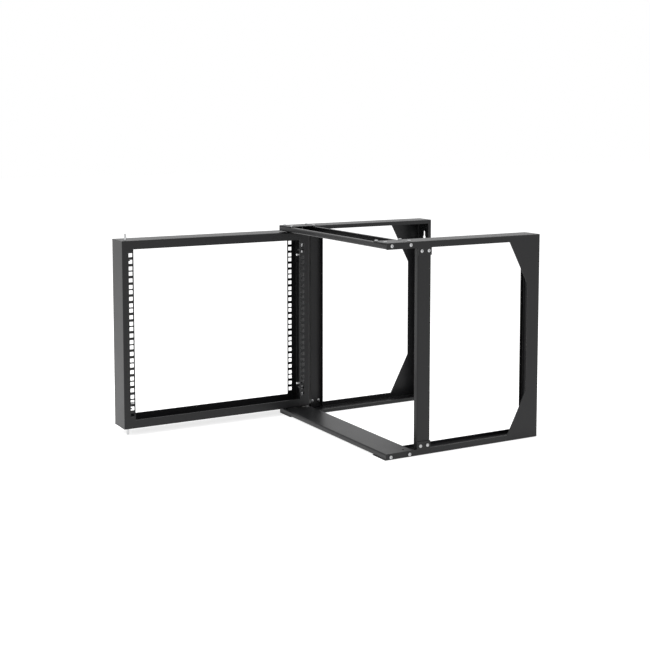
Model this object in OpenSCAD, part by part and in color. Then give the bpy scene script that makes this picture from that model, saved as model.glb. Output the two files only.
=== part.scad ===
// Wall mount open frame rack, nine units high, with a swing-out 19 inch frame.
// X runs to the right when facing the wall, Y towards the wall and Z up.
// The origin lies on the wall plane, midway between the two lower wall holes.
// The swing frame is drawn open by a quarter turn, out from the left side.

/* [Rack standard] */
// Height of the equipment space in rack units
rack_units = 9; // [4:1:14]
// Distance between the two columns of square holes
column_pitch = 465.1; // [440:0.1:600]
// Side of the square holes
hole_side = 9.5; // [7:0.1:11]
// Corner radius of the square holes
hole_corner = 0.6; // [0.2:0.1:1.5]

/* [Wall frame] */
// Depth from the wall to the front edge
frame_depth = 430; // [320:1:620]
// Sheet thickness of the wall frame
frame_sheet = 2; // [1.5:0.1:2.5]
// Inside radius of the folds
fold_r = 1.2; // [0.6:0.1:2]
// Width of the folded sides of a side frame, over the sheet
side_flange = 60; // [48:1:75]
// Height of the lips that stiffen the folded sides
side_lip = 10; // [6:0.5:13]
// Height of the web along the arms of a side frame
arm_web = 15; // [13:0.5:20]
// Width of the web along the rear of a side frame
rear_web = 36; // [28:1:50]
// Run of a corner gusset along the arm
gusset_run = 54; // [30:1:80]
// Rise of a corner gusset along the rear
gusset_rise = 102; // [60:1:120]
// Height of the web tabs that hold a post, from the outer edge
post_tab = 32; // [30:0.5:44]
// Gap between the front bars and the post
post_gap = 8; // [4:0.5:30]
// Width of a post
post_width = 36; // [32:1:50]
// Depth of a post, over its own sheet
post_reach = 13; // [10:0.5:24]

/* [Front bars] */
// Distance from the hinge line to the rear edge of the top bar and bottom plate
bar_behind = 19; // [15:0.5:24]
// Height of their folded walls
bar_height = 12.5; // [11:0.5:16]
// Width of their inward returns
bar_return = 10; // [8.5:0.5:14]
// Distance from the bar's outer face to its end screws
bar_screw_up = 7; // [6.5:0.5:8]
// Distance from a bar's front and rear edges to its end screws
bar_screw_edge = 13; // [10:0.5:20]
// Room left along a bar beside its end nuts
nut_room = 3; // [2:0.5:5]
// Gap between a bar and the side frames' lips
lip_gap = 2; // [1:0.5:5]

/* [Wall fixing] */
// Distance from the side face to the wall holes
wall_hole_in = 28; // [20:0.5:34]
// Height of the lower wall holes above the base
wall_hole_up = 40; // [30:1:90]
// Diameter of the lower wall holes
wall_hole_d = 8; // [6:0.5:10]
// Distance from the top of the frame to the keyholes' seat
keyhole_down = 36; // [30:1:90]
// Width of the keyholes' slot
keyhole_slot = 7; // [5:0.5:8]
// Diameter of the keyholes' round end
keyhole_round = 12.5; // [10:0.5:16]
// Drop from the slot's seat to the round end
keyhole_drop = 14; // [11:0.5:20]

/* [Swing frame] */
// Sheet thickness of the swing frame
swing_sheet = 2; // [1.5:0.1:2.5]
// Depth of the swing frame, front to rear face
swing_depth = 71; // [66:0.5:72]
// Distance from the hole columns to the frame's end faces
rail_margin = 20.5; // [19:0.5:24]
// Distance from the hole columns to the rail's inner edge
rail_inner = 7.5; // [6.5:0.5:10]
// Height left above and below the equipment space
swing_margin = 28; // [24:0.5:36]
// Height of the flanges on the swing frame's bars
swing_flange = 21; // [14:0.5:23]
// Gap between the swing frame and the bars
swing_gap = 2.5; // [1.5:0.5:5]
// Gap between the swing frame and the side frames
swing_side_gap = 3; // [2:0.5:6]
// Distance of the closed swing frame behind the front edge
swing_front_gap = 1; // [0.5:0.5:3]

/* [Spring bolts] */
// Diameter of the bolt rods
bolt_d = 6; // [5:0.5:7]
// Distance from the swing frame's end face to the bolt
bolt_in = 13; // [12:0.5:14]
// Distance from the swing frame's rear face to the bolt
bolt_back = 15; // [12.5:0.5:18]
// Depth of a bolt's tip inside the frame's outer face
tip_gap = 0.5; // [0.3:0.1:2]
// Reach of the handle from the bolt's axis
handle_reach = 17; // [15:0.5:22]
// Gap between the bracket and the handle
handle_gap = 8; // [3:0.5:20]
// Travel of the bolt
bolt_travel = 17; // [15:0.5:22]
// Width of the bolt's bracket
bracket_width = 18; // [15:0.5:20]
// Sheet thickness of the bracket
bracket_sheet = 2; // [1.5:0.1:2.5]
// Distance from the swing frame's outer face to the bracket
bracket_up = 7; // [5:0.5:9]
// Length left on the spring when the bolt is drawn fully
spring_spare = 9.5; // [2:0.5:15]
// Wire diameter of the spring
spring_wire = 1; // [0.8:0.1:1.2]
// Number of turns of the spring
spring_turns = 9; // [6:1:11]
// Diameter of the retaining clip
clip_d = 11; // [10:0.5:13]
// Thickness of the retaining clip
clip_t = 1.2; // [0.8:0.1:1.6]
// Diameter of the hinge washers
washer_d = 17; // [13:0.5:18]

/* [Screws] */
// Thread diameter of the screws
screw_d = 4; // [3:0.5:5]
// Diameter of the pan heads
head_d = 8; // [7:0.5:9]
// Height of the pan heads
head_h = 2.8; // [2.5:0.1:3.6]
// Width across flats of the nuts
nut_flats = 7; // [5.5:0.5:8]
// Thickness of the nuts
nut_t = 3.2; // [2.4:0.2:4]
// Distance from the frame's outer edge to the post screws
post_screw_up = 22; // [21:0.5:25]
// Distance between a post's two screws
post_screw_pitch = 19; // [14:0.5:20]
// Length of thread that stands out of a nut or a sheet
screw_end = 2; // [1:0.5:3]
// Distance from the side face to the first screw of a top flange
flange_screw_in = 17; // [16:0.5:22]
// Distance between that screw and the next one along the bar
flange_screw_pitch = 38; // [20:0.5:38]

/* [Clearances] */
// Radial clearance of a bolt in its bores
bolt_fit = 0.05; // [0.02:0.01:0.1]
// Radial clearance of a screw in its hole
screw_fit = 0.25; // [0.1:0.05:0.4]
// Play beside a washer, clip or spring
seat_play = 0.1; // [0.05:0.05:0.3]

/* [Hidden] */
$fn = 48;

// One rack unit, and the places of its three holes
unit = 44.45;
unit_holes = [6.35, 22.225, 38.1];

// Overall sizes
swing_width = column_pitch + 2 * rail_margin;
swing_height = rack_units * unit + 2 * swing_margin;
frame_width = swing_width + 2 * (swing_side_gap + frame_sheet);
frame_height = swing_height + 2 * (frame_sheet + bar_height + swing_gap);
rail_flange = rail_margin + rail_inner;

// The hinge line, seen from the outer corner of the wall frame
hinge_x = frame_sheet + swing_side_gap + bolt_in;
hinge_y = swing_front_gap + swing_depth - bolt_back;
swing_z = frame_sheet + bar_height + swing_gap;

// The front bars reach behind the hinge line, and the posts stand behind the bars
bar_width = hinge_y + bar_behind;
post_setback = bar_width + post_gap;

// Bolt heights, from the swing frame's outer face inwards
spring_shut = (spring_turns + 1) * spring_wire;
spring_length = spring_shut + spring_spare + bolt_travel;
bracket_length = 2 * bracket_sheet + clip_t + spring_length + 3 * seat_play;
bolt_out = frame_sheet + bar_height + swing_gap - tip_gap;
handle_up = bracket_up + bracket_length + handle_gap + bolt_d / 2;
ear_low = bracket_up;
clip_z = ear_low + bracket_sheet + seat_play;
spring_z0 = clip_z + clip_t + seat_play;
spring_z1 = spring_z0 + spring_length;
spring_bore_play = 1;
spring_r = bolt_d / 2 + spring_bore_play + spring_wire / 2;
groove_depth = 0.5;
groove_d = bolt_d - 2 * groove_depth;
tip_taper = 3;

// Screws, and room cut for other pieces
post_y = post_setback + post_width / 2;
screw_length = 2 * frame_sheet + nut_t + screw_end;
lip_relief = bar_width + lip_gap;
end_relief = nut_t + frame_sheet + nut_room;
fold_clear = frame_sheet + fold_r;
flange_screw_y = (fold_clear + bar_return) / 2;
cut = 1;

frame_black = [0.13, 0.13, 0.14];
zinc = [0.78, 0.79, 0.80];
nylon = [0.85, 0.85, 0.82];

// Places in the assembly

// Turns the outer corner frame into the part's own frame
module in_part_frame() {
    translate([-frame_width / 2, -frame_depth, -wall_hole_up]) children();
}

// The right-hand twin of a left-hand piece
module on_right() {
    translate([frame_width, 0, 0]) mirror([1, 0, 0]) children();
}

// The upper twin of a lower piece of the wall frame
module on_top() {
    translate([0, 0, frame_height]) mirror([0, 0, 1]) children();
}

// Places the swing frame, drawn as closed, open by a quarter turn about its hinge line
module swung_open() {
    in_part_frame()
        translate([hinge_x, hinge_y, swing_z])
            rotate([0, 0, -90])
                translate([-bolt_in, bolt_back - swing_depth, 0]) children();
}

// The four corners of the swing frame
module at_latch() {
    translate([swing_width, 0, 0]) mirror([1, 0, 0]) children();
}

module at_swing_top() {
    translate([0, 0, swing_height]) mirror([0, 0, 1]) children();
}

// Moves to a bolt's axis at the lower hinge corner
module at_bolt() {
    translate([bolt_in, swing_depth - bolt_back, 0]) children();
}

// Shapes shared by several pieces

module round_rect(w, h, r) {
    union() {
        translate([r, 0]) square([w - 2 * r, h]);
        translate([0, r]) square([w, h - 2 * r]);
        for (x = [r, w - r], y = [r, h - r]) translate([x, y]) circle(r = r);
    }
}

// A folded box section of sheet t, from the origin, before its open side is cut
module folded_section(w, h, t) {
    difference() {
        round_rect(w, h, fold_r + t);
        translate([t, t]) round_rect(w - 2 * t, h - 2 * t, fold_r);
    }
}

// Half the outline of a pan head: a straight rim, then an arc onto a flat crown
module pan_head_profile() {
    rim_h = head_h * 0.4;
    flat_r = head_d * 0.22;
    polygon(concat([[0, 0], [head_d / 2, 0]],
                   [for (a = [0:15:90]) [flat_r + (head_d / 2 - flat_r) * cos(a),
                                         rim_h + (head_h - rim_h) * sin(a)]],
                   [[0, head_h]]));
}

// Pan head screw, its head above z = 0 and its shank below
module pan_screw(length) {
    rotate_extrude() pan_head_profile();
    translate([0, 0, -length]) cylinder(d = screw_d, h = length + head_h / 2);
}

module hex_nut() {
    difference() {
        cylinder(d = nut_flats / cos(30), h = nut_t, $fn = 6);
        translate([0, 0, -cut]) cylinder(d = screw_d + 2 * bolt_fit, h = nut_t + 2 * cut);
    }
}

// Side frames: one folded sheet, with a web, three folded sides and their lips

// The folded tray's outer form, or its inside when inset by the sheet
module side_block(inset, r) {
    span = side_flange - 2 * inset;
    intersection() {
        translate([inset, frame_depth - inset, inset])
            rotate([90, 0, 0]) linear_extrude(frame_depth - inset + (inset > 0 ? cut : 0))
                round_rect(span, frame_height - 2 * inset, r);
        translate([inset, -3 * r - cut, -cut])
            linear_extrude(frame_height + 2 * cut)
                round_rect(span, frame_depth - inset + 3 * r + cut, r);
    }
}

// The web's opening, drawn in Y and Z, with gussets and the post's two tabs
module web_window() {
    rear = frame_depth - rear_web;
    post_end = post_setback + post_width;
    low = [[-cut, arm_web], [post_setback, arm_web], [post_setback, post_tab],
           [post_end, post_tab], [post_end, arm_web],
           [rear - gusset_run, arm_web], [rear, arm_web + gusset_rise]];
    high = [for (i = [len(low) - 1:-1:0]) [low[i][0], frame_height - low[i][1]]];
    polygon(concat(low, high));
}

module in_side_plane(from, to) {
    translate([from, 0, 0])
        rotate([90, 0, 90]) linear_extrude(to - from) children();
}

module bar_screw_places() {
    for (z = [bar_screw_up, frame_height - bar_screw_up],
         y = [bar_screw_edge, bar_width - bar_screw_edge])
        translate([0, y, z]) rotate([0, -90, 0]) children();
}

module post_screw_places() {
    for (z = [post_screw_up, frame_height - post_screw_up], s = [-1, 1])
        translate([0, post_y + s * post_screw_pitch / 2, z]) rotate([0, -90, 0]) children();
}

// Through the top flange into the top bar's returns
module flange_screw_places() {
    for (x = [flange_screw_in, flange_screw_in + flange_screw_pitch],
         y = [flange_screw_y, bar_width - flange_screw_y])
        translate([x, y, frame_height]) children();
}

module keyhole() {
    circle(d = keyhole_slot);
    translate([-keyhole_slot / 2, -keyhole_drop]) square([keyhole_slot, keyhole_drop]);
    translate([0, -keyhole_drop]) circle(d = keyhole_round);
}

module side_frame() {
    rear_lip = frame_depth - side_lip;
    difference() {
        side_block(0, fold_r + frame_sheet);
        side_block(frame_sheet, fold_r);
        in_side_plane(-cut, frame_sheet + cut) web_window();
        // The open inner side between the lips
        in_side_plane(side_flange - frame_sheet - fold_r - 0.01, side_flange + cut)
            translate([-cut, side_lip]) square([rear_lip + cut, frame_height - 2 * side_lip]);
        // The lips stop behind the front bars
        translate([side_flange - frame_sheet - fold_r, -cut, -cut])
            cube([frame_sheet + fold_r + cut, lip_relief + cut, frame_height + 2 * cut]);
        bar_screw_places() screw_hole();
        post_screw_places() screw_hole();
        flange_screw_places() flange_hole();
        // The bolts pass through the folds as well as through the bars
        translate([hinge_x, hinge_y, -cut])
            cylinder(d = bolt_d + 2 * screw_fit, h = frame_height + 2 * cut);
        translate([wall_hole_in, frame_depth + cut, frame_height - keyhole_down])
            rotate([90, 0, 0]) linear_extrude(frame_sheet + 2 * cut) keyhole();
        translate([wall_hole_in, frame_depth + cut, wall_hole_up])
            rotate([90, 0, 0]) cylinder(d = wall_hole_d, h = frame_sheet + 2 * cut);
    }
}

module screw_hole() {
    translate([0, 0, -3 * frame_sheet])
        cylinder(d = screw_d + 2 * screw_fit, h = 3 * frame_sheet + cut);
}

module flange_hole() {
    translate([0, 0, -3 * frame_sheet])
        cylinder(d = screw_d + 2 * screw_fit, h = 3 * frame_sheet + cut);
}

module side_frame_left() {
    color(frame_black) in_part_frame() side_frame();
}

module side_frame_right() {
    color(frame_black) in_part_frame() on_right() side_frame();
}

// Posts: a channel inside each side frame, held by two screws at each end

module post() {
    post_end = fold_clear + seat_play;
    difference() {
        translate([frame_sheet, post_setback, post_end])
            linear_extrude(frame_height - 2 * post_end)
                difference() {
                    folded_section(2 * post_reach, post_width, frame_sheet);
                    translate([post_reach, -cut]) square([2 * post_reach, post_width + 2 * cut]);
                }
        post_screw_places() screw_hole();
    }
}

module post_left() {
    color(frame_black) in_part_frame() post();
}

module post_right() {
    color(frame_black) in_part_frame() on_right() post();
}

// Front bars: one lipped channel, used upright at the bottom and turned over on top

module pin_hole(x) {
    translate([x, hinge_y, -cut])
        cylinder(d = bolt_d + 2 * bolt_fit, h = frame_sheet + bar_height + 2 * cut);
}

module front_bar() {
    length = frame_width - 2 * frame_sheet;
    opening = bar_width - 2 * bar_return;
    tab_side = fold_clear;
    tab_height = bar_height + frame_sheet / 2 - fold_clear;
    difference() {
        union() {
            translate([frame_sheet, 0, frame_sheet])
                rotate([90, 0, 90]) linear_extrude(length)
                    difference() {
                        folded_section(bar_width, bar_height, frame_sheet);
                        translate([bar_return, -cut]) square([opening, frame_sheet + 2 * cut]);
                    }
            for (x = [frame_sheet, frame_width - 2 * frame_sheet])
                translate([x, tab_side, fold_clear])
                    cube([frame_sheet, bar_width - 2 * tab_side, tab_height]);
        }
        // The end corners stay clear of the side frames' folds
        for (x = [-cut, frame_width - fold_clear])
            translate([x, -cut, -cut])
                cube([fold_clear + cut, bar_width + 2 * cut, fold_clear + cut]);
        // The returns stop short of the end tabs
        for (x = [frame_sheet, frame_width - frame_sheet - end_relief])
            translate([x + (x > frame_width / 2 ? -cut : frame_sheet), tab_side, 0])
                cube([end_relief - frame_sheet + cut, bar_width - 2 * tab_side,
                      2 * frame_sheet]);
        bar_screw_places() screw_hole();
        on_right() bar_screw_places() screw_hole();
        pin_hole(hinge_x);
        pin_hole(frame_width - hinge_x);
    }
}

module bottom_plate() {
    color(frame_black) in_part_frame() front_bar();
}

module top_bar() {
    color(frame_black) in_part_frame()
        difference() {
            on_top() front_bar();
            both_sides() flange_screw_places() flange_hole();
        }
}

// Fasteners of the wall frame

module both_sides() {
    children();
    on_right() children();
}

// Machine screws in the bars' end tabs, and thread-forming ones in the top bar's returns
module bar_screws() {
    color(zinc) in_part_frame() both_sides() {
        bar_screw_places() pan_screw(screw_length);
        flange_screw_places() pan_screw(2 * frame_sheet + screw_end);
    }
}

module post_screws() {
    color(zinc) in_part_frame() both_sides() post_screw_places() pan_screw(screw_length);
}

module nut_place() {
    translate([0, 0, -2 * frame_sheet - nut_t]) rotate([0, 0, 30]) hex_nut();
}

module bar_nuts() {
    color(zinc) in_part_frame() both_sides() bar_screw_places() nut_place();
}

module post_nuts() {
    color(zinc) in_part_frame() both_sides() post_screw_places() nut_place();
}

// Washers that keep the swing frame off the bars

module hinge_washer() {
    translate([0, 0, seat_play / 2 - swing_gap])
        difference() {
            cylinder(d = washer_d, h = swing_gap - seat_play);
            translate([0, 0, -cut])
                cylinder(d = bolt_d + 2 * screw_fit, h = swing_gap + 2 * cut);
        }
}

module hinge_washer_lower() {
    color(nylon) swung_open() at_bolt() hinge_washer();
}

module hinge_washer_upper() {
    color(nylon) swung_open() at_swing_top() at_bolt() hinge_washer();
}

// Swing frame, drawn closed from its lower front corner at the hinge end

module square_hole() {
    half = hole_side / 2;
    translate([-half, -half]) round_rect(hole_side, hole_side, hole_corner);
}

module rail_holes() {
    for (u = [0:rack_units - 1], h = unit_holes)
        translate([rail_margin, -cut, swing_margin + u * unit + h])
            rotate([-90, 0, 0]) linear_extrude(swing_depth + 2 * cut) square_hole();
}

module swing_rail() {
    difference() {
        translate([0, 0, swing_sheet])
            linear_extrude(swing_height - 2 * swing_sheet)
                difference() {
                    folded_section(2 * rail_flange, swing_depth, swing_sheet);
                    translate([rail_flange, -cut])
                        square([2 * rail_flange, swing_depth + 2 * cut]);
                }
        rail_holes();
    }
}

module swing_rail_hinge() {
    color(frame_black) swung_open() swing_rail();
}

module swing_rail_latch() {
    color(frame_black) swung_open() at_latch() swing_rail();
}

// A bar's web covers the ends of both rails, and its flanges fill the space between them
module swing_bar() {
    difference() {
        rotate([90, 0, 90]) linear_extrude(swing_width)
            difference() {
                folded_section(swing_depth, 2 * swing_flange, swing_sheet);
                translate([-cut, swing_flange]) square([swing_depth + 2 * cut, 2 * swing_flange]);
            }
        for (x = [-cut, swing_width - rail_flange])
            translate([x, -cut, swing_sheet])
                cube([rail_flange + cut, swing_depth + 2 * cut, swing_flange + cut]);
        for (x = [bolt_in, swing_width - bolt_in])
            translate([x, swing_depth - bolt_back, -cut])
                cylinder(d = bolt_d + 2 * bolt_fit, h = swing_sheet + 2 * cut);
    }
}

module swing_bottom_bar() {
    color(frame_black) swung_open() swing_bar();
}

module swing_top_bar() {
    color(frame_black) swung_open() at_swing_top() swing_bar();
}

// Spring bolts, drawn at the lower hinge corner and mirrored to the other three

// A folded bracket with two ears, spot-welded to the inside of a rail's web
module bracket() {
    ear_reach = bolt_in + bracket_width / 2 - swing_sheet;
    difference() {
        translate([swing_sheet, swing_depth - bolt_back + bracket_width / 2, bracket_up])
            rotate([90, 0, 0]) linear_extrude(bracket_width)
                difference() {
                    folded_section(2 * ear_reach, bracket_length, bracket_sheet);
                    translate([ear_reach, -cut]) square([2 * ear_reach, bracket_length + 2 * cut]);
                }
        at_bolt() cylinder(d = bolt_d + 2 * bolt_fit, h = handle_up);
    }
}

// A rod with a tapered tip, a groove for its clip and a bent handle
module bolt() {
    bend_r = bolt_d;
    at_bolt() {
        difference() {
            union() {
                translate([0, 0, -bolt_out])
                    cylinder(d1 = bolt_d * 0.55, d2 = bolt_d, h = tip_taper);
                translate([0, 0, tip_taper - bolt_out])
                    cylinder(d = bolt_d, h = handle_up - bend_r + bolt_out - tip_taper);
            }
            translate([0, 0, clip_z - seat_play / 2])
                difference() {
                    cylinder(d = bolt_d + cut, h = clip_t + seat_play);
                    translate([0, 0, -cut]) cylinder(d = groove_d, h = clip_t + 3 * cut);
                }
        }
        translate([bend_r, 0, handle_up - bend_r])
            rotate([90, 0, 180]) rotate_extrude(angle = 90)
                translate([bend_r, 0]) circle(d = bolt_d);
        translate([bend_r, 0, handle_up])
            rotate([0, 90, 0]) cylinder(d = bolt_d, h = handle_reach - bend_r);
    }
}

// An open ring that snaps into the bolt's groove
module clip() {
    mouth = groove_d * 0.8;
    at_bolt() translate([0, 0, clip_z])
        difference() {
            cylinder(d = clip_d, h = clip_t);
            translate([0, 0, -cut]) cylinder(d = groove_d + 2 * bolt_fit, h = clip_t + 2 * cut);
            translate([0, -mouth / 2, -cut]) cube([clip_d, mouth, clip_t + 2 * cut]);
        }
}

// A helix of round wire, swept as rings of six points
module spring() {
    steps_per_turn = 10;
    sides = 6;
    steps = spring_turns * steps_per_turn;
    rise = spring_z1 - spring_z0 - spring_wire;
    rings = [for (i = [0:steps])
        let (turn = 360 * i / steps_per_turn, z = spring_z0 + spring_wire / 2 + rise * i / steps)
            for (s = [0:sides - 1])
                let (a = 360 * s / sides, r = spring_r + spring_wire / 2 * cos(a))
                    [r * cos(turn), r * sin(turn), z + spring_wire / 2 * sin(a)]];
    walls = [for (i = [0:steps - 1], s = [0:sides - 1])
        let (t = (s + 1) % sides)
            [i * sides + s, (i + 1) * sides + s, (i + 1) * sides + t, i * sides + t]];
    first_cap = [for (s = [0:sides - 1]) s];
    last_cap = [for (s = [sides - 1:-1:0]) steps * sides + s];
    at_bolt() polyhedron(rings, concat(walls, [first_cap, last_cap]));
}

module bracket_hinge_bottom() { color(zinc) swung_open() bracket(); }
module bracket_hinge_top() { color(zinc) swung_open() at_swing_top() bracket(); }
module bracket_latch_bottom() { color(zinc) swung_open() at_latch() bracket(); }
module bracket_latch_top() { color(zinc) swung_open() at_latch() at_swing_top() bracket(); }

module bolt_hinge_bottom() { color(zinc) swung_open() bolt(); }
module bolt_hinge_top() { color(zinc) swung_open() at_swing_top() bolt(); }
module bolt_latch_bottom() { color(zinc) swung_open() at_latch() bolt(); }
module bolt_latch_top() { color(zinc) swung_open() at_latch() at_swing_top() bolt(); }

module clip_hinge_bottom() { color(zinc) swung_open() clip(); }
module clip_hinge_top() { color(zinc) swung_open() at_swing_top() clip(); }
module clip_latch_bottom() { color(zinc) swung_open() at_latch() clip(); }
module clip_latch_top() { color(zinc) swung_open() at_latch() at_swing_top() clip(); }

module spring_hinge_bottom() { color(zinc) swung_open() spring(); }
module spring_hinge_top() { color(zinc) swung_open() at_swing_top() spring(); }
module spring_latch_bottom() { color(zinc) swung_open() at_latch() spring(); }
module spring_latch_top() { color(zinc) swung_open() at_latch() at_swing_top() spring(); }

side_frame_left();
side_frame_right();
post_left();
post_right();
top_bar();
bottom_plate();
bar_screws();
bar_nuts();
post_screws();
post_nuts();
hinge_washer_lower();
hinge_washer_upper();
swing_rail_hinge();
swing_rail_latch();
swing_top_bar();
swing_bottom_bar();
bracket_hinge_bottom();
bracket_hinge_top();
bracket_latch_bottom();
bracket_latch_top();
bolt_hinge_bottom();
bolt_hinge_top();
bolt_latch_bottom();
bolt_latch_top();
clip_hinge_bottom();
clip_hinge_top();
clip_latch_bottom();
clip_latch_top();
spring_hinge_bottom();
spring_hinge_top();
spring_latch_bottom();
spring_latch_top();
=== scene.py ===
import math

import bmesh
import bpy
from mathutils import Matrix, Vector


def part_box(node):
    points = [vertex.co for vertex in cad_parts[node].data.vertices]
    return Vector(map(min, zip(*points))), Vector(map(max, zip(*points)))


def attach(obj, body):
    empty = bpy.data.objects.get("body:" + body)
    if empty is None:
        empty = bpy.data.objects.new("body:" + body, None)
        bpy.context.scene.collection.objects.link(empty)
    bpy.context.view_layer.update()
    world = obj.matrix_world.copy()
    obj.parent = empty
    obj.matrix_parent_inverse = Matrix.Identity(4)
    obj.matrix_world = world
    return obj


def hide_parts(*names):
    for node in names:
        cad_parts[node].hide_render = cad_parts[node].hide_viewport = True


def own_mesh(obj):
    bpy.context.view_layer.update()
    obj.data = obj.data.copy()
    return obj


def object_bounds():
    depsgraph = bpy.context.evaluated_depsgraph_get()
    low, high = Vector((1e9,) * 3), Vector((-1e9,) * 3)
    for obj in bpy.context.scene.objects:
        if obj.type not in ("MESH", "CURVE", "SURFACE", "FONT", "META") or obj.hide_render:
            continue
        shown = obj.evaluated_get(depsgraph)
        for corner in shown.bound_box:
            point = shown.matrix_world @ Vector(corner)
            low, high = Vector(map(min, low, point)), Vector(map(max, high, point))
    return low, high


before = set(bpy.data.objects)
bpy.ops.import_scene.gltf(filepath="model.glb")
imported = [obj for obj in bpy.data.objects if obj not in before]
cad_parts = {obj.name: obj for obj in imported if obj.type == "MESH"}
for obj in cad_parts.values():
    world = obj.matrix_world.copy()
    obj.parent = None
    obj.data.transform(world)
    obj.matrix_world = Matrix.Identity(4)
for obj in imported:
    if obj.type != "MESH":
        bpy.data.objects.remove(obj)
cad_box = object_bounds()
scene = bpy.context.scene


# The camera stands in front of the rack, to its right and a little above it.
# Its place, turn and lens come from a fit to the straight edges of the photograph.
view_lens = 68.35
view_shift = -0.15
view_place = (2.5455, -1.8752, 0.7351)
view_turn = math.radians(60.60)
view_pitch = math.radians(5.285)

camera_data = bpy.data.cameras.new("camera")
camera_data.lens = view_lens
camera_data.sensor_width = 36
camera_data.shift_y = view_shift
camera_data.clip_start = 0.05
camera_data.clip_end = 60
camera = bpy.data.objects.new("camera", camera_data)
camera.location = view_place
camera.rotation_euler = (math.pi / 2 - view_pitch, 0, view_turn)
scene.collection.objects.link(camera)
scene.camera = camera


# The studio: a white surround, three soft lamps and a pale floor under the rack.
# The surround shows white to the eye and in reflections, and lights the rack only softly.
scene.view_settings.view_transform = "Standard"


class Wire:
    """A node's output that takes part in sums as a number would."""

    def __init__(self, board, socket):
        self.board = board
        self.socket = socket

    def __getitem__(self, output):
        return Wire(self.board, self.socket.node.outputs[output])

    def math(self, operation, *others):
        values = dict(enumerate((self,) + others))
        return self.board.add("ShaderNodeMath", {"operation": operation}, values)

    def __add__(self, other):
        return self.math("ADD", other)

    def __sub__(self, other):
        return self.math("SUBTRACT", other)

    def __rsub__(self, other):
        return self.board.add("ShaderNodeMath", {"operation": "SUBTRACT"}, {0: other, 1: self})

    def __mul__(self, other):
        return self.math("MULTIPLY", other)

    def __truediv__(self, other):
        return self.math("DIVIDE", other)

    __radd__ = __add__
    __rmul__ = __mul__


class Board:
    """A node tree that is wired one node at a time."""

    def __init__(self, tree):
        self.tree = tree
        tree.nodes.clear()

    def add(self, kind, settings=None, sockets=None):
        node = self.tree.nodes.new(kind)
        for name, value in (settings or {}).items():
            setattr(node, name, value)
        for name, value in (sockets or {}).items():
            if isinstance(value, Wire):
                self.tree.links.new(value.socket, node.inputs[name])
            elif isinstance(value, list):
                for wire in value:
                    self.tree.links.new(wire.socket, node.inputs[name])
            else:
                node.inputs[name].default_value = value
        return Wire(self, node.outputs[0]) if node.outputs else None


def seen_directly(board):
    """1 where the eye, a reflection or a clear body looks, and 0 for light that falls on things."""
    path = board.add("ShaderNodeLightPath")
    seen = path["Is Camera Ray"] + path["Is Glossy Ray"] + path["Is Transmission Ray"]
    return board.add("ShaderNodeMath", {"operation": "MINIMUM"}, {0: seen, 1: 1.0})


surround_light = 0.66
surround = bpy.data.worlds.new("surround")
scene.world = surround
surround.use_nodes = True
board = Board(surround.node_tree)
strength = surround_light + (1 - surround_light) * seen_directly(board)
white = board.add("ShaderNodeBackground", None, {"Color": (1, 1, 1, 1), "Strength": strength})
board.add("ShaderNodeOutputWorld", None, {"Surface": white})

lamps = {
    "lamp_above": ((-0.4, -0.2, 1.8), 2.0, 17),
    "lamp_front_left": ((-1.2, -3.0, 1.7), 1.8, 27),
    "lamp_right": ((2.8, -0.9, 1.9), 1.6, 7),
}
rack_middle = (cad_box[0] + cad_box[1]) / 2
for name, (place, size, power) in lamps.items():
    lamp = bpy.data.lights.new(name, "AREA")
    lamp.shape = "DISK"
    lamp.size = size
    lamp.energy = power
    holder = bpy.data.objects.new(name, lamp)
    holder.location = place
    holder.rotation_euler = (rack_middle - Vector(place)).to_track_quat("-Z", "Y").to_euler()
    holder.visible_glossy = False
    scene.collection.objects.link(holder)

floor_reach = 12.0
floor_glow = 0.73
floor_shade = 0.68
floor_mesh = bpy.data.meshes.new("floor")
floor_corners = [(x * floor_reach, y * floor_reach, cad_box[0].z)
                 for x, y in ((-1, -1), (1, -1), (1, 1), (-1, 1))]
floor_mesh.from_pydata(floor_corners, [], [(0, 1, 2, 3)])
floor = bpy.data.objects.new("floor", floor_mesh)
scene.collection.objects.link(floor)
paper = bpy.data.materials.new("white_paper")
paper.use_nodes = True
board = Board(paper.node_tree)
lit = board.add("ShaderNodeBsdfDiffuse", None, {"Color": (floor_shade, floor_shade, floor_shade, 1)})
glow = board.add("ShaderNodeEmission", None,
                 {"Color": (1, 1, 1, 1), "Strength": floor_glow * seen_directly(board)})
both = board.add("ShaderNodeAddShader", None, {0: lit, 1: glow})
board.add("ShaderNodeOutputMaterial", None, {"Surface": both})
floor_mesh.materials.append(paper)


# The two side frames: each is one folded sheet of 2 mm steel, with lips, gussets and
# a keyhole, and a fine textured black powder coat. Its rounded edges are painted lighter as a
# highlight, and are a little shinier.
coat_black = (0.0045, 0.0045, 0.005, 1)
coat_grey = (0.011, 0.0112, 0.0125, 1)
# The edge greys are a painted highlight: a lighter colour on the rounded edges that stands for light
# catching them.
coat_edge_highlight_grey = (0.030, 0.0305, 0.033, 1)
coat_ior = 1.38
coat_cloud = 9.0
coat_grain = 1400
coat_relief = 0.00012
coat_relief_strength = 0.35
coat_rough = 0.37
coat_edge_rough = 0.34
edge_round = 0.00025
smooth_below = math.radians(35)
round_above = math.radians(50)
weld_reach = 1e-6


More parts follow.
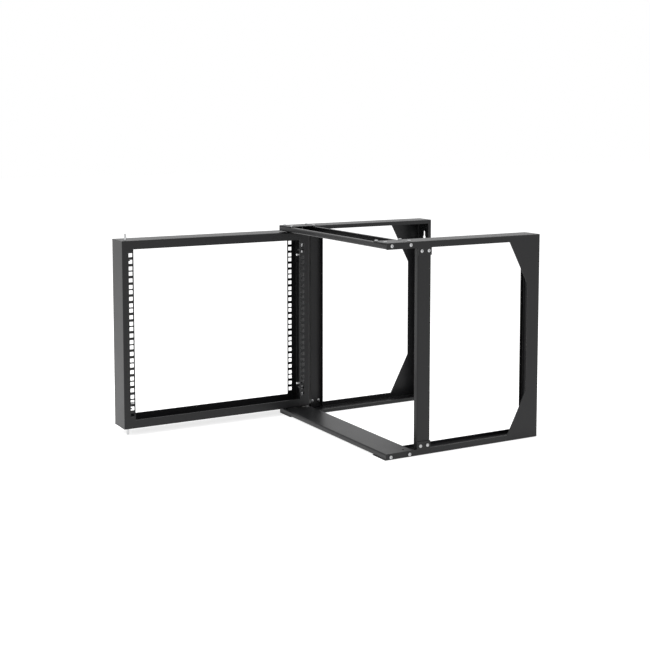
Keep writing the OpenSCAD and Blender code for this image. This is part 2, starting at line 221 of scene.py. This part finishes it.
def powder_coat(name, dark, light, rough):
    """Paint baked from powder: a fine grain on a softer orange peel, a little cloudy in shade."""
    coat = bpy.data.materials.new(name)
    coat.use_nodes = True
    board = Board(coat.node_tree)
    place = board.add("ShaderNodeTexCoord")["Object"]
    cloud = board.add("ShaderNodeTexNoise", None,
                      {"Vector": place, "Scale": coat_cloud, "Detail": 4.0, "Roughness": 0.6})
    grain = board.add("ShaderNodeTexNoise", None,
                      {"Vector": place, "Scale": coat_grain, "Detail": 2.0, "Roughness": 0.6})
    orange_peel = board.add("ShaderNodeTexNoise", None,
                            {"Vector": place, "Scale": coat_grain / 4, "Detail": 1.0})
    shade = board.add("ShaderNodeMix", {"data_type": "RGBA"},
                      {0: cloud * 0.6 + grain * 0.4, 6: dark, 7: light})[2]
    height = grain * 0.6 + orange_peel * 0.4
    bump = board.add("ShaderNodeBump", None,
                     {"Height": height, "Strength": coat_relief_strength, "Distance": coat_relief})
    body = board.add("ShaderNodeBsdfPrincipled", None,
                     {"Base Color": shade, "IOR": coat_ior,
                      "Roughness": rough + 0.10 * (cloud - 0.5) + 0.08 * (grain - 0.5),
                      "Normal": bump})
    board.add("ShaderNodeOutputMaterial", None, {"Surface": body})
    return coat


frame_coat = powder_coat("black_powder_coat", coat_black, coat_grey, coat_rough)
# The edge coat is the face coat painted lighter, a painted highlight on every rounded edge of the
# coated sheets.
painted_highlight_edge_coat = powder_coat("black_powder_coat_painted_edge_highlight", coat_grey, coat_edge_highlight_grey, coat_edge_rough)


def settled(piece):
    """The piece's mesh with its modifiers worked in."""
    bpy.context.view_layer.update()
    depsgraph = bpy.context.evaluated_depsgraph_get()
    mesh = bpy.data.meshes.new_from_object(piece.evaluated_get(depsgraph))
    piece.modifiers.clear()
    piece.data = mesh
    return mesh


def finished(piece_name, node_name, body, face_finish, edge_finish, edge_width):
    """The node's own solid, its loose triangles joined, its edges rounded and its finish on."""
    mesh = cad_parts[node_name].data.copy()
    mesh.name = piece_name
    form = bmesh.new()
    form.from_mesh(mesh)
    bmesh.ops.remove_doubles(form, verts=form.verts, dist=weld_reach)
    bmesh.ops.dissolve_degenerate(form, edges=form.edges, dist=1e-7)
    bmesh.ops.dissolve_limit(form, angle_limit=math.radians(1),
                             verts=form.verts, edges=form.edges)
    for face in form.faces:
        face.smooth = True
        face.material_index = 0
    form.to_mesh(mesh)
    form.free()
    mesh.set_sharp_from_angle(angle=smooth_below)
    mesh.materials.clear()
    mesh.materials.append(face_finish)
    mesh.materials.append(edge_finish)
    piece = bpy.data.objects.new(piece_name, mesh)
    scene.collection.objects.link(piece)
    rounding = piece.modifiers.new("edge_rounding", "BEVEL")
    rounding.width = edge_width
    rounding.segments = 2
    rounding.limit_method = "ANGLE"
    rounding.angle_limit = round_above
    rounding.use_clamp_overlap = False
    rounding.material = 1
    flat_faces = piece.modifiers.new("flat_faces", "WEIGHTED_NORMAL")
    flat_faces.mode = "FACE_AREA"
    flat_faces.weight = 50
    flat_faces.keep_sharp = True
    low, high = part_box(node_name)
    for point in settled(piece).vertices:
        point.co = Vector(min(max(value, least), most)
                          for value, least, most in zip(point.co, low, high))
    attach(piece, body)
    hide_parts(node_name)


def coated_sheet(piece_name, node_name, body):
    finished(piece_name, node_name, body, frame_coat, painted_highlight_edge_coat, edge_round)


for side in ("left", "right"):
    coated_sheet("side_sheet_" + side, "side_frame_" + side, "wall_frame")


# The posts: channels folded from the same 2 mm steel, which stand between the arms of each
# side frame. Two screws hold each end to the tabs of the side frame's web.
for side in ("left", "right"):
    coated_sheet("post_channel_" + side, "post_" + side, "wall_frame")


# The top bar and the bottom plate: the same lipped channel of 2 mm steel, one turned over.
# Folded tabs close their ends and take the screws, and both are coated like the side frames.
for name in ("top_bar", "bottom_plate"):
    coated_sheet(name + "_channel", name, "wall_frame")


# The swing frame: two channels of 2 mm steel with 27 punched square holes in each flange,
# and two bars welded across their ends, coated together.
for name in ("swing_rail_hinge", "swing_rail_latch", "swing_top_bar", "swing_bottom_bar"):
    coated_sheet(name + "_sheet", name, "swing_frame")


# The four brackets: folded straps with two ears, spot-welded inside the rails
# before the swing frame is coated, which guide the spring bolts.
corners = ("hinge_bottom", "hinge_top", "latch_bottom", "latch_top")
for corner in corners:
    coated_sheet("bracket_strap_" + corner, "bracket_" + corner, "swing_frame")


# The screws: zinc plated pan heads with a cross recess and a rolled thread. Sixteen hold the
# bars and the posts to the side frames, and eight more the side frames' top folds to the top bar.
screw_head = 0.008
screw_head_height = 0.0028
screw_thread = 0.004
screw_pitch = 0.0007
recess_span = 0.0044
recess_width = 0.0011
recess_depth = 0.0017
machine_length = 0.0092
forming_length = 0.006
bar_screw_rows = (13, 63)
bar_screw_heights = (7, 483.05)
post_screw_rows = (92.5, 111.5)
post_screw_heights = (22, 468.05)
fold_screw_rows = (6.6, 69.4)
fold_screw_places = (17, 55)
frame_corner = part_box("side_frame_left")[0]
frame_width = 516.1
frame_height = 490.05
plate_cloud = 160.0
plate_marks = 2600.0
plate_relief = 0.00003


def plated(name, dark, light, rough, scratch):
    """Bright plate on steel: a faint cloud, fine drawing marks and no paint."""
    metal = bpy.data.materials.new(name)
    metal.use_nodes = True
    board = Board(metal.node_tree)
    place = board.add("ShaderNodeTexCoord")["Object"]
    cloud = board.add("ShaderNodeTexNoise", None,
                      {"Vector": place, "Scale": plate_cloud, "Detail": 3.0})
    marks = board.add("ShaderNodeTexNoise", None,
                      {"Vector": place, "Scale": plate_marks, "Detail": 2.0})
    shade = board.add("ShaderNodeMix", {"data_type": "RGBA"},
                      {0: cloud * 0.7 + marks * 0.3, 6: dark, 7: light})[2]
    bump = board.add("ShaderNodeBump", None,
                     {"Height": marks, "Strength": scratch, "Distance": plate_relief})
    body = board.add("ShaderNodeBsdfPrincipled", None,
                     {"Base Color": shade, "Metallic": 1.0,
                      "Roughness": rough + 0.16 * (cloud - 0.5), "Normal": bump})
    board.add("ShaderNodeOutputMaterial", None, {"Surface": body})
    return metal


zinc_plate = plated("zinc_plate", (0.42, 0.43, 0.45, 1), (0.66, 0.66, 0.65, 1), 0.30, 0.25)


def on_bench(x, y, z):
    """A place in millimetres from the wall frame's lower front corner at the hinge side."""
    return frame_corner + Vector((x, y, z)) / 1000


def growing_tree(name, sizes):
    """A tree that grows pieces on places, with a named input for each size."""
    tree = bpy.data.node_groups.new(name, "GeometryNodeTree")
    tree.interface.new_socket("Places", in_out="INPUT", socket_type="NodeSocketGeometry")
    for size in sizes:
        tree.interface.new_socket(size, in_out="INPUT", socket_type="NodeSocketFloat")
    tree.interface.new_socket("Pieces", in_out="OUTPUT", socket_type="NodeSocketGeometry")
    board = Board(tree)
    return tree, board, board.add("NodeGroupInput")


def turned(board, rings, sides, along, radius):
    """A form turned about Z: along and radius give a ring's height and radius from its share."""
    spine = board.add("GeometryNodeCurvePrimitiveLine", {"mode": "POINTS"},
                      {"Start": (0, 0, 0), "End": (0, 0, 1)})
    spine = board.add("GeometryNodeResampleCurve", {"mode": "COUNT"},
                      {"Curve": spine, "Count": rings})
    share = board.add("GeometryNodeInputIndex") / (rings - 1)
    place = board.add("ShaderNodeCombineXYZ", None, {"Z": along(share)})
    spine = board.add("GeometryNodeSetPosition", None, {"Geometry": spine, "Position": place})
    ring = board.add("GeometryNodeCurvePrimitiveCircle", {"mode": "RADIUS"},
                     {"Resolution": sides, "Radius": 1.0})
    return board.add("GeometryNodeCurveToMesh", None,
                     {"Curve": spine, "Profile Curve": ring, "Scale": radius(share), "Fill Caps": True})


def moved(board, form, reshape):
    """The form with each point's place worked out anew from its old one."""
    old = board.add("ShaderNodeSeparateXYZ", None, {0: board.add("GeometryNodeInputPosition")})
    x, y, z = reshape(old["X"], old["Y"], old["Z"])
    new = board.add("ShaderNodeCombineXYZ", None, {"X": x, "Y": y, "Z": z})
    return board.add("GeometryNodeSetPosition", None, {"Geometry": form, "Position": new})


def set_on_places(board, places, form, material, seed):
    """One form on each place, turned to the place's way and by chance about it."""
    way = board.add("GeometryNodeInputNamedAttribute", {"data_type": "FLOAT_VECTOR"},
                    {"Name": "way"})
    facing = board.add("FunctionNodeAlignRotationToVector", {"axis": "Z"}, {"Vector": way})
    spin = board.add("FunctionNodeRandomValue", {"data_type": "FLOAT"},
                     {2: 0.0, 3: math.tau, 8: seed})[1]
    spin = board.add("FunctionNodeAxisAngleToRotation", None, {"Axis": (0, 0, 1), "Angle": spin})
    facing = board.add("FunctionNodeRotateRotation", {"rotation_space": "LOCAL"},
                       {"Rotation": facing, "Rotate By": spin})
    copies = board.add("GeometryNodeInstanceOnPoints", None,
                       {"Points": places, "Instance": form, "Rotation": facing})
    finish_tree(board, copies, material)


def finish_tree(board, pieces, material):
    """Makes the pieces real and lays their material on."""
    solid = board.add("GeometryNodeRealizeInstances", None, {"Geometry": pieces})
    solid = board.add("GeometryNodeSetMaterial", None, {"Geometry": solid, "Material": material})
    board.add("NodeGroupOutput", None, {"Pieces": solid})


def grown(piece_name, tree, places, ways, sizes):
    """Runs the tree on the places, or on the path through them, and keeps a plain mesh."""
    path = [(i, i + 1) for i in range(len(places) - 1)] if ways is None else []
    seeds = bpy.data.meshes.new(piece_name + "_places")
    seeds.from_pydata(places, path, [])
    if ways is not None:
        seeds.attributes.new("way", "FLOAT_VECTOR", "POINT")
        for spot, way in zip(seeds.attributes["way"].data, ways):
            spot.vector = way
    piece = bpy.data.objects.new(piece_name, seeds)
    scene.collection.objects.link(piece)
    growth = piece.modifiers.new("growth", "NODES")
    growth.node_group = tree
    for socket in tree.interface.items_tree:
        if socket.in_out == "INPUT" and socket.name in sizes:
            growth[socket.identifier] = sizes[socket.name]
    mesh = settled(piece)
    mesh.name = piece_name
    form = bmesh.new()
    form.from_mesh(mesh)
    bmesh.ops.remove_doubles(form, verts=form.verts, dist=weld_reach)
    bmesh.ops.recalc_face_normals(form, faces=form.faces)
    for face in form.faces:
        face.smooth = True
    form.to_mesh(mesh)
    form.free()
    mesh.set_sharp_from_angle(angle=smooth_below)
    return piece


screw_tree, board, size = growing_tree(
    "pan_head_screws", ("Head Diameter", "Head Height", "Thread Diameter", "Thread Pitch", "Length",
                        "Recess Span", "Recess Width", "Recess Depth"))
head_steps = 13
wall_steps = 2
dome_steps = head_steps - wall_steps
head_sides = 32
rim = 0.36
lower_edge_round = 0.00015
thread_sides = 20
thread_steps = 48
thread_depth = 0.75
point_long = 0.0004
point_slope = 0.9
shank_start = 0.3
wing_taper = 0.45
head_flat = 0.22 * size["Head Diameter"]
dome_reach = 0.5 * size["Head Diameter"] - head_flat


def dome_angle(share):
    from_wall = share * (head_steps / dome_steps) - wall_steps / dome_steps
    return from_wall.math("MAXIMUM", 0.0) * (math.pi / 2)


def head_radius(share):
    lower_edge = (1 - share * head_steps).math("MAXIMUM", 0.0)
    dome = head_flat + dome_reach * dome_angle(share).math("COSINE")
    return dome - lower_edge_round * lower_edge


def head_rise(share):
    wall = (share * (head_steps / wall_steps)).math("MINIMUM", 1.0) * (rim * size["Head Height"])
    return wall + (1 - rim) * size["Head Height"] * dome_angle(share).math("SINE")


head = turned(board, head_steps + 1, head_sides, head_rise, head_radius)
shank = board.add("GeometryNodeMeshCylinder", {"fill_type": "NGON"},
                  {"Vertices": thread_sides, "Side Segments": thread_steps, "Radius": 1.0,
                   "Depth": size["Length"]})


def thread(x, y, z):
    down = z - 0.5 * size["Length"]
    turn = y.math("ARCTAN2", x) / math.tau
    tooth = (down / size["Thread Pitch"] + turn).math("PINGPONG", 0.5)
    point = (point_long - down - size["Length"]).math("MAXIMUM", 0.0) * point_slope
    radius = 0.5 * size["Thread Diameter"] - thread_depth * size["Thread Pitch"] * tooth - point
    return x * radius, y * radius, down + shank_start * size["Head Height"]


shank = moved(board, shank, thread)
slot_box = board.add("ShaderNodeCombineXYZ", None,
                     {"X": size["Recess Span"], "Y": size["Recess Width"],
                      "Z": 2 * size["Recess Depth"]})
wing = board.add("GeometryNodeMeshCube", None, {"Size": slot_box})


def tapered(x, y, z):
    slim = 1 + wing_taper * z / size["Recess Depth"]
    return x * slim, y * slim, z + size["Head Height"]


wing = moved(board, wing, tapered)
crossing = board.add("GeometryNodeTransform", None,
                     {"Geometry": wing, "Rotation": (0, 0, math.pi / 2)})
blank = board.add("GeometryNodeMeshBoolean", {"operation": "UNION", "solver": "EXACT"},
                  {"Mesh 2": [head, shank]})
screw = board.add("GeometryNodeMeshBoolean", {"operation": "DIFFERENCE", "solver": "EXACT"},
                  {"Mesh 1": blank, "Mesh 2": [wing, crossing]})
set_on_places(board, size["Places"], screw, zinc_plate, 4)

screw_sizes = {"Head Diameter": screw_head, "Head Height": screw_head_height,
               "Thread Diameter": screw_thread, "Thread Pitch": screw_pitch,
               "Recess Span": recess_span, "Recess Width": recess_width, "Recess Depth": recess_depth}


def side_seats(rows, heights, inward):
    """Places and ways of screws in the webs of both side frames, or of nuts on their inner side."""
    seats = []
    for row in rows:
        for height in heights:
            seats.append((on_bench(inward, row, height), Vector((-1, 0, 0))))
            seats.append((on_bench(frame_width - inward, row, height), Vector((1, 0, 0))))
    return zip(*seats)


def fasten(piece_name, tree, seats, sizes, node_name):
    """Grows the screws or nuts of one node on their seats."""
    places, ways = seats
    piece = grown(piece_name, tree, places, ways, sizes)
    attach(piece, "wall_frame")
    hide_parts(node_name)


fasten("bar_machine_screws", screw_tree, side_seats(bar_screw_rows, bar_screw_heights, 0),
       dict(screw_sizes, Length=machine_length), "bar_screws")
fasten("post_machine_screws", screw_tree, side_seats(post_screw_rows, post_screw_heights, 0),
       dict(screw_sizes, Length=machine_length), "post_screws")
fold_seats = [(on_bench(x, row, frame_height), Vector((0, 0, 1)))
              for row in fold_screw_rows for place in fold_screw_places
              for x in (place, frame_width - place)]
fasten("fold_forming_screws", screw_tree, zip(*fold_seats), dict(screw_sizes, Length=forming_length),
       "bar_screws")


# The nuts: zinc plated steel hexagons, chamfered on both faces, turned onto the machine
# screws on the inner side of the tabs.
nut_width = 0.007
nut_thickness = 0.0032
nut_bore = 0.0041
nut_from_face = 4
barrel_steps = 8
barrel_sides = 48
barrel_face = 0.475
barrel_slope = 1.7
bore_steps = 12
bore_sides = 32
bore_over = 0.1
countersink_slope = 0.7

nut_tree, board, size = growing_tree("chamfered_nuts", ("Width", "Thickness", "Bore"))
hexagon = board.add("GeometryNodeMeshCylinder", {"fill_type": "NGON"},
                    {"Vertices": 6, "Radius": size["Width"] / math.sqrt(3), "Depth": size["Thickness"]})
hexagon = board.add("GeometryNodeTransform", None,
                    {"Geometry": hexagon,
                     "Translation": board.add("ShaderNodeCombineXYZ", None,
                                              {"Z": -0.5 * size["Thickness"]})})


def barrel_radius(share):
    nearest_face = share.math("PINGPONG", 0.5)
    return barrel_face * size["Width"] + barrel_slope * size["Thickness"] * nearest_face


def barrel_rise(share):
    return -1 * size["Thickness"] * share


barrel = turned(board, barrel_steps + 1, barrel_sides, barrel_rise, barrel_radius)


def bore_radius(share):
    countersink = (bore_over - share.math("PINGPONG", 0.5)).math("MAXIMUM", 0.0)
    return 0.5 * size["Bore"] + countersink_slope * size["Thickness"] * countersink


def bore_rise(share):
    return bore_over * size["Thickness"] - (1 + 2 * bore_over) * size["Thickness"] * share


bore = turned(board, bore_steps + 1, bore_sides, bore_rise, bore_radius)
nut = board.add("GeometryNodeMeshBoolean", {"operation": "INTERSECT", "solver": "EXACT"},
                {"Mesh 2": [hexagon, barrel]})
nut = board.add("GeometryNodeMeshBoolean", {"operation": "DIFFERENCE", "solver": "EXACT"},
                {"Mesh 1": nut, "Mesh 2": [bore]})
set_on_places(board, size["Places"], nut, zinc_plate, 9)

nut_sizes = {"Width": nut_width, "Thickness": nut_thickness, "Bore": nut_bore}
fasten("bar_hex_nuts", nut_tree, side_seats(bar_screw_rows, bar_screw_heights, nut_from_face),
       nut_sizes, "bar_nuts")
fasten("post_hex_nuts", nut_tree, side_seats(post_screw_rows, post_screw_heights, nut_from_face),
       nut_sizes, "post_nuts")


# The spring bolts: zinc plated rods with a tapered tip, a groove for the clip and a bent handle.
# Each slides in the swing frame by itself, so each is a body of its own.
rod_radius = 0.003
rod_tip_radius = 0.00165
rod_taper = 0.003
rod_bend = 0.006
groove_cut = 0.0005
groove_from_tip = 0.02555
groove_long = 0.0013
rod_end_round = 0.0006
rod_sides = 28
bend_steps = 12
groove_wall = 0.00002
taper_wall = 0.0001

rod_tree, board, size = growing_tree(
    "bent_rods", ("Radius", "Tip Radius", "Taper", "Bend", "Groove From Tip", "Groove Length",
                  "Groove Depth", "End Round"))
path = board.add("GeometryNodeMeshToCurve", None, {"Mesh": size["Places"]})
path = board.add("GeometryNodeFilletCurve", {"mode": "POLY"},
                 {"Curve": path, "Count": bend_steps, "Radius": size["Bend"], "Limit Radius": True})
length = board.add("GeometryNodeSplineParameter")["Length"]
whole = board.add("GeometryNodeSplineLength")["Length"]
tip = size["Tip Radius"] + (size["Radius"] - size["Tip Radius"]) * length / size["Taper"]
end = size["Radius"] - size["End Round"] + (whole - length)
past = (length - size["Groove From Tip"]).math("GREATER_THAN", 0.0)
before = (size["Groove From Tip"] + size["Groove Length"] - length).math("GREATER_THAN", 0.0)
plain = tip.math("MINIMUM", size["Radius"]).math("MINIMUM", end)
rod = plain - size["Groove Depth"] * past * before
ring = board.add("GeometryNodeCurvePrimitiveCircle", {"mode": "RADIUS"},
                 {"Resolution": rod_sides, "Radius": 1.0})
swept = board.add("GeometryNodeCurveToMesh", None,
                  {"Curve": path, "Profile Curve": ring, "Scale": rod, "Fill Caps": True})
finish_tree(board, swept, zinc_plate)

for corner in corners:
    low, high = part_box("bolt_" + corner)
    upward = 1 if corner.endswith("bottom") else -1
    axis_y = high.y - rod_radius if corner.startswith("hinge") else low.y + rod_radius
    handle_y = low.y if corner.startswith("hinge") else high.y
    tip_z, far_z = (low.z, high.z) if upward > 0 else (high.z, low.z)
    tip = Vector((0.5 * (low.x + high.x), axis_y, tip_z))
    groove_end = groove_from_tip + groove_long
    stations = (0, rod_taper, rod_taper + taper_wall,
                groove_from_tip - groove_wall, groove_from_tip + groove_wall,
                groove_end - groove_wall, groove_end + groove_wall)
    path = [tip + Vector((0, 0, upward * station)) for station in stations]
    bend = Vector((tip.x, tip.y, far_z - upward * rod_radius))
    grip = Vector((tip.x, handle_y, bend.z))
    path += [bend, grip + (bend - grip).normalized() * rod_end_round, grip]
    bolt = grown("bent_bolt_" + corner, rod_tree, path, None,
                 {"Radius": rod_radius, "Tip Radius": rod_tip_radius, "Taper": rod_taper,
                  "Bend": rod_bend, "Groove From Tip": groove_from_tip,
                  "Groove Length": groove_long, "Groove Depth": groove_cut,
                  "End Round": rod_end_round})
    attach(bolt, "bolt_" + corner)
    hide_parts("bolt_" + corner)


# The clips: open rings stamped from zinc plated spring steel, which snap into the bolts'
# grooves and carry the springs. Each moves with its bolt.
clip_edge_round = 0.00012

for corner in corners:
    finished("snap_clip_" + corner, "clip_" + corner, "bolt_" + corner,
             zinc_plate, zinc_plate, clip_edge_round)


# The springs: cold wound from bright wire, with closed ends, between each clip and its bracket's
# inner ear.
spring_wire = 0.0005
spring_turns = 11.0
turn_steps = 20
wire_sides = 10
shut_pitch = 2.05
spring_steel = plated("spring_steel", (0.30, 0.30, 0.31, 1), (0.50, 0.50, 0.50, 1), 0.26, 0.35)

spring_tree, board, size = growing_tree(
    "closed_end_springs", ("Mean Radius", "Height", "Wire Radius", "Turns"))
coil = board.add("GeometryNodeCurveSpiral", None,
                 {"Resolution": turn_steps, "Rotations": size["Turns"],
                  "Start Radius": size["Mean Radius"], "End Radius": size["Mean Radius"],
                  "Height": size["Height"]})
turn = board.add("GeometryNodeSplineParameter")["Factor"] * size["Turns"]
closed = shut_pitch * size["Wire Radius"]
open_share = ((turn - 1) / (size["Turns"] - 2)).math("MAXIMUM", 0.0).math("MINIMUM", 1.0)
last_turn = (turn - size["Turns"] + 1).math("MAXIMUM", 0.0)
rise = closed * turn.math("MINIMUM", 1.0) + closed * last_turn
rise = rise + open_share * (size["Height"] - 2 * closed)
flat = board.add("ShaderNodeSeparateXYZ", None, {0: board.add("GeometryNodeInputPosition")})
raised = board.add("ShaderNodeCombineXYZ", None, {"X": flat["X"], "Y": flat["Y"], "Z": rise})
coil = board.add("GeometryNodeSetPosition", None, {"Geometry": coil, "Position": raised})
ring = board.add("GeometryNodeCurvePrimitiveCircle", {"mode": "RADIUS"},
                 {"Resolution": wire_sides, "Radius": size["Wire Radius"]})
wound = board.add("GeometryNodeCurveToMesh", None,
                  {"Curve": coil, "Profile Curve": ring, "Fill Caps": True})
set_on_places(board, size["Places"], wound, spring_steel, 2)

for corner in corners:
    low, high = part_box("spring_" + corner)
    middle = 0.5 * (low + high)
    foot = Vector((middle.x, middle.y, low.z + spring_wire))
    spring = grown("coil_spring_" + corner, spring_tree, [foot], [Vector((0, 0, 1))],
                   {"Mean Radius": 0.5 * (high.x - low.x) - spring_wire,
                    "Wire Radius": spring_wire, "Turns": spring_turns,
                    "Height": high.z - low.z - 2 * spring_wire})
    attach(spring, "swing_frame")
    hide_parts("spring_" + corner)
    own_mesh(spring)


# The two hinge washers: moulded discs of natural nylon, slipped over the hinge bolts, which
# keep the swing frame's coat off the bars.
nylon_cloud = 240.0
nylon_relief = 0.00005
nylon_rough = 0.42
nylon = bpy.data.materials.new("natural_nylon")
nylon.use_nodes = True
board = Board(nylon.node_tree)
place = board.add("ShaderNodeTexCoord")["Object"]
cloud = board.add("ShaderNodeTexNoise", None,
                  {"Vector": place, "Scale": nylon_cloud, "Detail": 3.0})
shade = board.add("ShaderNodeMix", {"data_type": "RGBA"},
                  {0: cloud, 6: (0.60, 0.60, 0.55, 1), 7: (0.74, 0.74, 0.70, 1)})[2]
bump = board.add("ShaderNodeBump", None, {"Height": cloud, "Strength": 0.2, "Distance": nylon_relief})
moulded = board.add("ShaderNodeBsdfPrincipled", None,
                    {"Base Color": shade, "Roughness": nylon_rough + 0.12 * (cloud - 0.5),
                     "Normal": bump})
board.add("ShaderNodeOutputMaterial", None, {"Surface": moulded})

finished("nylon_washer_lower", "hinge_washer_lower", "wall_frame", nylon, nylon, edge_round)
finished("nylon_washer_upper", "hinge_washer_upper", "swing_frame", nylon, nylon, edge_round)
